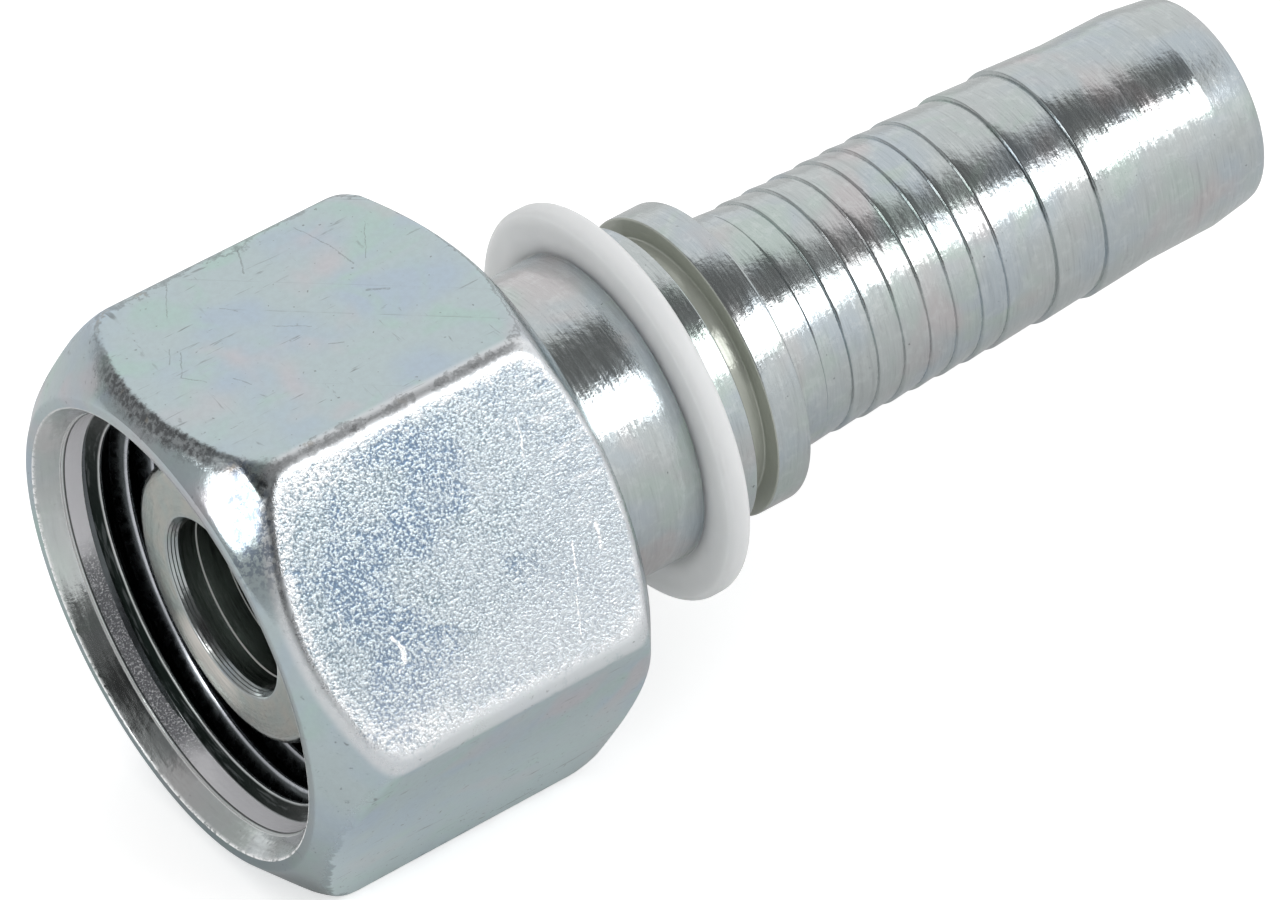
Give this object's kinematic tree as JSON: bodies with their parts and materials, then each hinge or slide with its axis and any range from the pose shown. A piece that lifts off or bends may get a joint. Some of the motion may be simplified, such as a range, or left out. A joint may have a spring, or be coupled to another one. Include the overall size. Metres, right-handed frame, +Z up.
{
  "type": "hydraulic hose fitting",
  "caption": "Straight swivel hose fitting: zinc-plated crimp insert with barbed tail, loose hexagonal union nut, and a white nylon ring behind the nut.",
  "frame": {"origin": "on the fitting's axis, in the plane of the flat face of the insert's sealing nose", "axes": "+X along the axis from the nose towards the hose end, +Z up, normal to the union nut's upper flat; the nut lies on the opposite flat"},
  "size_m": [0.062, 0.031, 0.027],
  "materials": {
    "turned_steel": "turned steel, bright zinc plating",
    "forged_steel": "drawn hexagon steel, satin blue-white zinc plating",
    "white_nylon": "natural white nylon, slightly translucent"
  },
  "bodies": {
    "insert": {"hose_insert": "turned_steel"},
    "ring": {"retaining_ring": "white_nylon"},
    "nut": {"union_nut": "forged_steel"}
  },
  "joints": [
    {"name": "nut_spin", "type": "hinge", "parent": "insert", "child": "ring", "pos_m": [0.023, 0, 0], "axis": [1, 0, 0], "continuous": true},
    {"name": "nut_slide", "type": "slide", "parent": "ring", "child": "nut", "axis": [1, 0, 0], "range_m": [-0.00095, 0.00635]}
  ]
}
